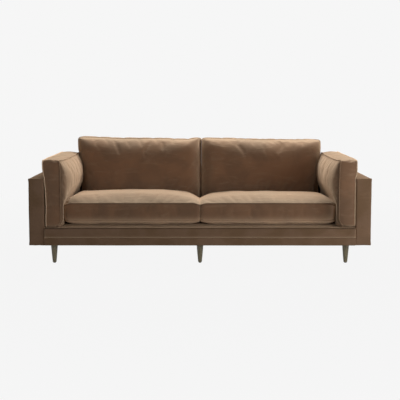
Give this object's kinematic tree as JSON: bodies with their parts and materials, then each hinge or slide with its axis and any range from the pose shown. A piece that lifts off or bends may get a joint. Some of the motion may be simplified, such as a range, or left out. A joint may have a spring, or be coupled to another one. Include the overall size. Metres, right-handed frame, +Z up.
{
  "type": "tuxedo sofa",
  "caption": "Low velvet sofa with flat arm and back panels, loose seat, back and arm cushions, and tapered turned legs.",
  "frame": {"origin": "on the floor, under the middle of the outer box", "axes": "+X along the sofa to the right as seen from the front, +Y from the front to the back, +Z up"},
  "size_m": [2.2, 0.912, 0.7759],
  "materials": {
    "beech_frame": "matte",
    "hardboard": "matte",
    "foam": "matte",
    "panel_velvet": "matte",
    "cushion_velvet": "matte",
    "webbing": "matte",
    "felt_pad": "matte",
    "lining_cloth": "matte",
    "fumed_oak": "satin",
    "zinc_steel": "satin",
    "glide_plastic": "matte"
  },
  "bodies": {
    "frame": {"arm_left_posts": "beech_frame", "arm_left_rails": "beech_frame", "arm_left_boards": "hardboard", "arm_left_padding": "foam", "arm_left_cover": "panel_velvet", "arm_right_posts": "beech_frame", "arm_right_rails": "beech_frame", "arm_right_boards": "hardboard", "arm_right_padding": "foam", "arm_right_cover": "panel_velvet", "back_posts": "beech_frame", "back_rails": "beech_frame", "back_boards": "hardboard", "back_padding": "foam", "back_cover": "panel_velvet", "front_rail": "beech_frame", "rear_rail": "beech_frame", "end_rail_left": "beech_frame", "end_rail_right": "beech_frame", "bearer_left": "beech_frame", "bearer_right": "beech_frame", "leg_blocks": "beech_frame", "plinth_board": "hardboard", "plinth_cover": "panel_velvet", "rail_padding": "foam", "rail_cover": "panel_velvet", "webbing_cross": "webbing", "webbing_long": "webbing", "deck_pad": "felt_pad", "deck_cloth": "panel_velvet", "dust_cover": "lining_cloth", "leg_front_left": "fumed_oak", "leg_front_middle": "fumed_oak", "leg_front_right": "fumed_oak", "leg_rear_left": "fumed_oak", "leg_rear_middle": "fumed_oak", "leg_rear_right": "fumed_oak", "leg_plates": "zinc_steel", "leg_studs": "zinc_steel", "plate_screws": "zinc_steel", "leg_glides": "glide_plastic", "frame_bolts": "zinc_steel", "bolt_washers": "zinc_steel", "frame_inserts": "zinc_steel"},
    "seat_cushion_left": {"seat_left_cover": "cushion_velvet", "seat_left_core": "foam"},
    "seat_cushion_right": {"seat_right_cover": "cushion_velvet", "seat_right_core": "foam"},
    "back_cushion_left": {"back_left_cover": "cushion_velvet", "back_left_core": "foam"},
    "back_cushion_right": {"back_right_cover": "cushion_velvet", "back_right_core": "foam"},
    "arm_cushion_left": {"arm_cushion_left_cover": "cushion_velvet", "arm_cushion_left_core": "foam"},
    "arm_cushion_right": {"arm_cushion_right_cover": "cushion_velvet", "arm_cushion_right_core": "foam"}
  },
  "joints": [
    {"name": "seat_cushion_left_lift", "type": "slide", "parent": "frame", "child": "seat_cushion_left", "axis": [0, 0, 1], "range_m": [0, 0.6]},
    {"name": "seat_cushion_right_lift", "type": "slide", "parent": "frame", "child": "seat_cushion_right", "axis": [0, 0, 1], "range_m": [0, 0.6]},
    {"name": "back_cushion_left_lift", "type": "slide", "parent": "frame", "child": "back_cushion_left", "axis": [0, 0, 1], "range_m": [0, 0.6]},
    {"name": "back_cushion_right_lift", "type": "slide", "parent": "frame", "child": "back_cushion_right", "axis": [0, 0, 1], "range_m": [0, 0.6]},
    {"name": "arm_cushion_left_lift", "type": "slide", "parent": "frame", "child": "arm_cushion_left", "axis": [0, 0, 1], "range_m": [0, 0.6]},
    {"name": "arm_cushion_right_lift", "type": "slide", "parent": "frame", "child": "arm_cushion_right", "axis": [0, 0, 1], "range_m": [0, 0.6]}
  ]
}
